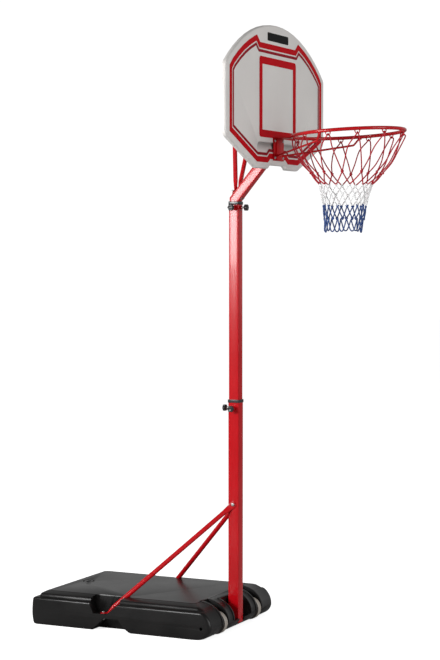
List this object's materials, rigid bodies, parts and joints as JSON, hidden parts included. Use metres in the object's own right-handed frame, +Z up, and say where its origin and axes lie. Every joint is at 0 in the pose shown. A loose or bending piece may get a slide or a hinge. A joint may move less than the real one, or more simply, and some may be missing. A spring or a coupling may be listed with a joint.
{
  "type": "basketball stand",
  "caption": "Portable basketball stand: wheeled ballast tank, telescopic square pole with struts, moulded backboard, steel rim and coloured net.",
  "frame": {"origin": "centre of the whole stand's bounding box, at the underside of the base, on the floor", "axes": "+Z up, the hoop faces -Y, the ballast base reaches back towards +Y, the board's width runs along X"},
  "size_m": [0.96, 1.4862, 2.4032],
  "materials": {
    "red_paint": "gloss red powder coat",
    "base_plastic": "charcoal blow-moulded polyethylene with a satin sheen",
    "black_plastic": "black injection-moulded",
    "board_plastic": "light warm grey moulded",
    "red_film": "printed film",
    "black_film": "bare black plate",
    "steel": "zinc plated",
    "wheel_plastic": "dark grey moulded",
    "seal_rubber": "soft black",
    "red_cord": "twisted nylon",
    "white_cord": "twisted nylon",
    "blue_cord": "twisted nylon"
  },
  "bodies": {
    "stand": {"base_tank": "base_plastic", "filler_seal": "seal_rubber", "pole_foot_plug": "black_plastic", "wheel_axle": "steel", "lower_pole": "red_paint", "lower_collar": "black_plastic", "clamp_nut_lower_side": "red_paint", "clamp_nut_lower_rear": "red_paint", "strut_left": "red_paint", "strut_right": "red_paint", "strut_pole_bolt": "steel", "strut_pole_nut": "steel", "strut_base_bolt_left": "steel", "strut_base_bolt_right": "steel", "strut_base_nut_left": "steel", "strut_base_nut_right": "steel"},
    "cap": {"filler_cap": "black_plastic"},
    "left_wheel": {"wheel_left": "wheel_plastic"},
    "right_wheel": {"wheel_right": "wheel_plastic"},
    "lower_side_clamp": {"knob_lower_side": "black_plastic", "stem_lower_side": "steel"},
    "lower_rear_clamp": {"knob_lower_rear": "black_plastic", "stem_lower_rear": "steel"},
    "upper_section": {"upper_pole": "red_paint", "upper_collar": "black_plastic", "clamp_nut_upper_side": "red_paint", "clamp_nut_upper_front": "red_paint"},
    "upper_side_clamp": {"knob_upper_side": "black_plastic", "stem_upper_side": "steel"},
    "upper_front_clamp": {"knob_upper_front": "black_plastic", "stem_upper_front": "steel"},
    "head": {"neck": "red_paint", "neck_plate": "red_paint", "brace_left": "red_paint", "brace_right": "red_paint", "brace_bolt_left": "steel", "brace_bolt_right": "steel", "brace_nut_left": "steel", "brace_nut_right": "steel", "brace_board_screw_left": "steel", "brace_board_screw_right": "steel", "backboard": "board_plastic", "border_band": "red_film", "border_line": "red_film", "target_frame": "red_film", "label_plate": "black_film", "rim_bracket": "red_paint", "rim_bolt_lower_left": "steel", "rim_bolt_lower_right": "steel", "rim_bolt_upper_left": "steel", "rim_bolt_upper_right": "steel", "rim_nut_lower_left": "steel", "rim_nut_lower_right": "steel", "rim_nut_upper_left": "steel", "rim_nut_upper_right": "steel", "rim_ring": "red_paint", "net_red": "red_cord", "net_white": "white_cord", "net_blue": "blue_cord"}
  },
  "joints": [
    {"name": "left_wheel_spin", "type": "hinge", "parent": "stand", "child": "left_wheel", "pos_m": [-0.16125, -0.02687, 0.047], "axis": [1, 0, 0], "continuous": true},
    {"name": "right_wheel_spin", "type": "hinge", "parent": "stand", "child": "right_wheel", "pos_m": [0.16125, -0.02687, 0.047], "axis": [1, 0, 0], "continuous": true},
    {"name": "cap_lift", "type": "slide", "parent": "stand", "child": "cap", "axis": [0, 0, 1], "range_m": [0, 0.04]},
    {"name": "lower_side_knob_turn", "type": "hinge", "parent": "stand", "child": "lower_side_clamp", "pos_m": [-0.04, -0.03587, 0.887], "axis": [-1, 0, 0], "range_deg": [0, 720]},
    {"name": "lower_rear_knob_turn", "type": "hinge", "parent": "stand", "child": "lower_rear_clamp", "pos_m": [0, 0.00413, 0.887], "axis": [0, 1, 0], "range_deg": [0, 720]},
    {"name": "upper_slide", "type": "slide", "parent": "stand", "child": "upper_section", "axis": [0, 0, 1], "range_m": [-0.24, 0.04]},
    {"name": "upper_side_knob_turn", "type": "hinge", "parent": "upper_section", "child": "upper_side_clamp", "pos_m": [-0.0375, -0.03587, 1.691], "axis": [-1, 0, 0], "range_deg": [0, 720]},
    {"name": "upper_front_knob_turn", "type": "hinge", "parent": "upper_section", "child": "upper_front_clamp", "pos_m": [0, -0.07337, 1.691], "axis": [0, -1, 0], "range_deg": [0, 720]},
    {"name": "neck_slide", "type": "slide", "parent": "upper_section", "child": "head", "axis": [0, 0, 1], "range_m": [0, 0.15]}
  ]
}
